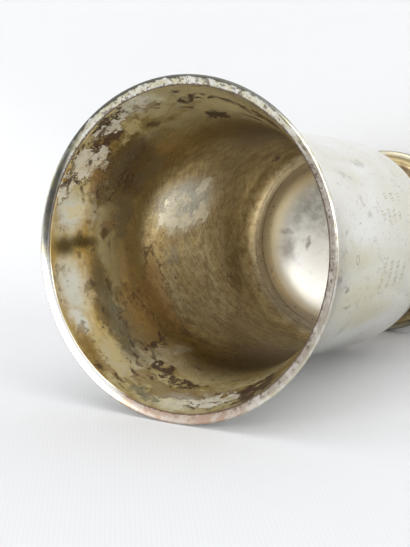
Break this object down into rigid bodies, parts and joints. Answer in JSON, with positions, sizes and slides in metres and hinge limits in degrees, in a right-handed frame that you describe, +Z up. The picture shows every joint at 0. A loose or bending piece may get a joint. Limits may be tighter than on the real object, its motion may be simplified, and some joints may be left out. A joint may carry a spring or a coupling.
{
  "type": "silver beaker",
  "caption": "Plain footed silver beaker with a flared lip, a rounded lower body, a worn gilt inside and a spreading hollow foot.",
  "frame": {"origin": "bottom centre, where the axis of the beaker meets the table it stands on", "axes": "+Z up along the axis of the beaker, from the foot to the mouth; +X and +Y are free, because the shape is round"},
  "size_m": [0.08, 0.08, 0.115],
  "materials": {
    "silver": "hand-worn polished silver with fine scratches and a faint yellow tarnish outside, and rubbed tarnished gilding inside",
    "gilt_foot": "silver with worn gilding, darkened in the hollows"
  },
  "bodies": {
    "root": {"beaker_body": "silver", "foot": "gilt_foot"}
  },
  "joints": []
}
